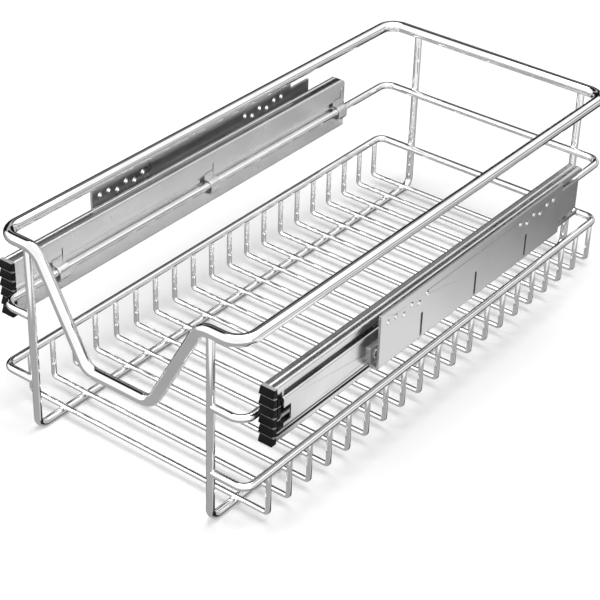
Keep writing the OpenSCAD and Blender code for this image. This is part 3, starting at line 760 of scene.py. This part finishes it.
for side, sign in (("left", -1), ("right", 1)):
    rail = loose_copy(f"{side}_drawer_rail", f"{side}_drawer_channel")
    bumper_low, bumper_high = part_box(f"{side}_drawer_bumper")
    low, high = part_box(f"{side}_drawer_rail")
    basket_side = bumper_low[0] if sign > 0 else bumper_high[0]
    x = basket_side + sign * TRACK_LINE_IN
    lift = TRACK_LINE_RADIUS - TRACK_LINE_DEPTH
    press_line(rail, x, bumper_high[2] + lift, low[1], high[1])
    press_line(rail, x, bumper_low[2] - lift, low[1], high[1])
    round_rear_corner(rail, low, high)
    ease_edges(rail, SHEET_EASE, EASE_SEGMENTS)
    finish_piece(rail, f"{side}_drawer_rail", rail_zinc, "basket")

    rail = loose_copy(f"{side}_middle_rail", f"{side}_middle_channel")
    ease_edges(rail, SHEET_EASE, EASE_SEGMENTS)
    finish_piece(rail, f"{side}_middle_rail", rail_zinc, "middle_rails")

    rail = loose_copy(f"{side}_cabinet_rail", f"{side}_cabinet_channel")
    ease_edges(rail, SHEET_EASE, EASE_SEGMENTS)
    finish_piece(rail, f"{side}_cabinet_rail", rail_zinc, "cabinet_rails")

# The ball cages and balls: thin folded strips of bright steel, each with nine hardened balls
# above and nine below, which carry one rail on the next.
cage_strip = bright_metal(
    "cage_strip",
    greys=(0.50, 0.60),
    roughness=(0.25, 0.36),
    cloud_size=60.0,
    line_size=1200.0,
    line_stretch=0.05,
    line_depth=0.00001,
)
ball_polish = bright_metal(
    "ball_polish",
    greys=(0.70, 0.78),
    roughness=(0.04, 0.09),
    cloud_size=200.0,
    line_size=2500.0,
    line_stretch=1.0,
    line_depth=0.000002,
)


def refinish(node, finish):
    """A carried-over node keeps its shape and takes this finish."""
    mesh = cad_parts[node].data
    mesh.materials.clear()
    mesh.materials.append(finish)


for side in ("left", "right"):
    refinish(f"{side}_outer_ball_cage", cage_strip)
    refinish(f"{side}_inner_ball_cage", cage_strip)
    refinish(f"{side}_outer_balls", ball_polish)
    refinish(f"{side}_inner_balls", ball_polish)

# The brackets: 2 mm zinc-plated sheet, punched and folded, a tall plate for the cabinet's side
# and a low leg that is riveted to the slide. Punching leaves their edges slightly rounded.
BRACKET_EASE = 0.0002

bracket_zinc = bright_metal(
    "bracket_zinc",
    greys=(0.62, 0.69),
    roughness=(0.25, 0.33),
    cloud_size=12.0,
    line_size=2200.0,
    line_stretch=1.0,
    line_depth=0.000006,
)

for side in ("left", "right"):
    node = f"{side}_mounting_bracket"
    bracket = loose_copy(node, f"{side}_wall_bracket")
    ease_edges(bracket, BRACKET_EASE, EASE_SEGMENTS)
    finish_piece(bracket, node, bracket_zinc, "cabinet_rails")

# The rivets: four a side, soft steel, with a domed head on the bracket's leg and an upset
# end inside the cabinet rail.
RIVET_EASE = 0.00045
DOME_SEGMENTS = 3

rivet_steel = bright_metal(
    "rivet_steel",
    greys=(0.48, 0.60),
    roughness=(0.22, 0.38),
    cloud_size=300.0,
    line_size=3000.0,
    line_stretch=1.0,
    line_depth=0.00001,
)

rivets = loose_copy("bracket_rivets", "domed_rivets")
ease_edges(rivets, RIVET_EASE, DOME_SEGMENTS, smooth_below=SHARP_FROM)
finish_piece(rivets, "bracket_rivets", rivet_steel, "cabinet_rails")

# The bumpers: moulded black plastic, a cap with six slanting ribs on the front end of each
# drawer rail and three blocks in the end of each middle rail, which soften the stops.
CAP_RIBS = 6
CAP_PLATE = 0.0012
RIB_GAP = 0.0018
RIB_LEAN = 0.0022
CAP_EASE = 0.00025
BLOCK_EASE = 0.0003
MOULD_SEGMENTS = 3
BLOCKS = 3
PLASTIC_SHINE = 0.12
PLASTIC_GREYS = (0.002, 0.004)
PLASTIC_ROUGHNESS = (0.36, 0.5)
GREY_CLOUDS = 120.0
GLOSS_CLOUDS = 400.0
GRAIN_SIZE = 4000.0
GRAIN_DEPTH = 0.00002
# A painted highlight: a pale grey line along the top edge of every rib and stop block.
PAINTED_HIGHLIGHT_REACH = 0.0004
PAINTED_HIGHLIGHT_FULL_REACH = PAINTED_HIGHLIGHT_REACH * 0.6
PAINTED_HIGHLIGHT_GREY = 0.35


def black_plastic(name, top_z, pitch):
    """Dull black plastic, with a painted highlight along the upper edge of every rib, one to a
    pitch.
    """
    plastic = bpy.data.materials.new(name)
    plastic.use_nodes = True
    nodes, links = plastic.node_tree.nodes, plastic.node_tree.links
    body = nodes["Principled BSDF"]
    body.inputs["Specular IOR Level"].default_value = PLASTIC_SHINE
    place = nodes.new("ShaderNodeTexCoord")
    parts = nodes.new("ShaderNodeSeparateXYZ")
    height = nodes.new("ShaderNodeMath")
    height.operation = "SUBTRACT"
    height.inputs[1].default_value = top_z
    share = nodes.new("ShaderNodeMath")
    share.operation = "PINGPONG"
    share.inputs[1].default_value = pitch / 2
    # The painted highlight, grey close to each rib's top edge.
    painted_highlight = nodes.new("ShaderNodeMapRange")
    painted_highlight.inputs["From Min"].default_value = PAINTED_HIGHLIGHT_REACH
    painted_highlight.inputs["From Max"].default_value = PAINTED_HIGHLIGHT_FULL_REACH
    painted_highlight.inputs["To Max"].default_value = PAINTED_HIGHLIGHT_GREY
    whole = nodes.new("ShaderNodeMath")
    whole.operation = "ADD"
    links.new(place.outputs["Object"], parts.inputs[0])
    links.new(parts.outputs["Z"], height.inputs[0])
    links.new(height.outputs[0], share.inputs[0])
    links.new(share.outputs[0], painted_highlight.inputs["Value"])
    links.new(painted_highlight.outputs[0], whole.inputs[0])
    links.new(add_clouds(plastic, GREY_CLOUDS, *PLASTIC_GREYS), whole.inputs[1])
    links.new(whole.outputs[0], body.inputs["Base Color"])
    links.new(add_clouds(plastic, GLOSS_CLOUDS, *PLASTIC_ROUGHNESS), body.inputs["Roughness"])
    add_relief(plastic, size=GRAIN_SIZE, stretch=1.0, depth=GRAIN_DEPTH)
    return plastic


def moulded_block(low, high, lean=0.0):
    """A block from low to high, its upper front edge set back by lean, all edges rounded."""
    place = [(start + end) / 2 for start, end in zip(low, high)]
    size = [end - start for start, end in zip(low, high)]
    bpy.ops.object.select_all(action="DESELECT")
    bpy.ops.mesh.primitive_cube_add(size=1.0, location=place)
    block = bpy.context.object
    bpy.ops.object.transform_apply(location=True, rotation=True, scale=True)
    bpy.ops.object.mode_set(mode="EDIT")
    bpy.ops.mesh.select_all(action="SELECT")
    bpy.ops.transform.resize(value=size, center_override=place)
    bpy.ops.mesh.select_all(action="DESELECT")
    bpy.ops.object.mode_set(mode="OBJECT")
    for point in block.data.vertices:
        point.select = point.co.y < place[1] and point.co.z > place[2]
    bpy.ops.object.mode_set(mode="EDIT")
    bpy.ops.transform.translate(value=(0, lean, 0))
    bpy.ops.object.mode_set(mode="OBJECT")
    easing = block.modifiers.new("moulded_edges", "BEVEL")
    easing.width = CAP_EASE
    easing.segments = MOULD_SEGMENTS
    bpy.ops.object.modifier_apply(modifier=easing.name)
    bpy.ops.object.shade_smooth_by_angle(angle=SHARP_FROM)
    return block


for side in ("left", "right"):
    node = f"{side}_drawer_bumper"
    low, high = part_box(node)
    points = [point.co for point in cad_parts[node].data.vertices]
    plug = [co for co in points if co.y > high[1] - SHEET_EASE]
    plug_x = [co.x for co in plug]
    plug_z = [co.z for co in plug]
    rail_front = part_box(f"{side}_drawer_rail")[0][1]
    plate_front = rail_front - CAP_PLATE
    moulded = [
        moulded_block((low[0], plate_front, low[2]), (high[0], rail_front, high[2])),
        moulded_block(
            (min(plug_x), plate_front + CAP_EASE, min(plug_z)),
            (max(plug_x), high[1], max(plug_z)),
        ),
    ]
    pitch = (high[2] - low[2] + RIB_GAP) / CAP_RIBS
    rib_rear = plate_front + CAP_EASE * 2
    rib_top = low[2] + pitch - RIB_GAP
    rib = moulded_block(low, (high[0], rib_rear, rib_top), lean=RIB_LEAN)
    moulded.append(rib)
    for number in range(1, CAP_RIBS):
        moulded.append(copy_piece(rib, "rib", (0, 0, number * pitch)))
    cap = join_pieces(moulded, f"{side}_ribbed_cap")
    cap_black = black_plastic(f"{side}_cap_black", high[2], pitch)
    finish_piece(cap, node, cap_black, "basket")

    node = f"{side}_middle_bumper"
    block = loose_copy(node, f"{side}_stop_blocks")
    ease_edges(block, BLOCK_EASE, MOULD_SEGMENTS)
    low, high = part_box(node)
    block_black = black_plastic(f"{side}_block_black", high[2], (high[2] - low[2]) / BLOCKS)
    finish_piece(block, node, block_black, "middle_rails")
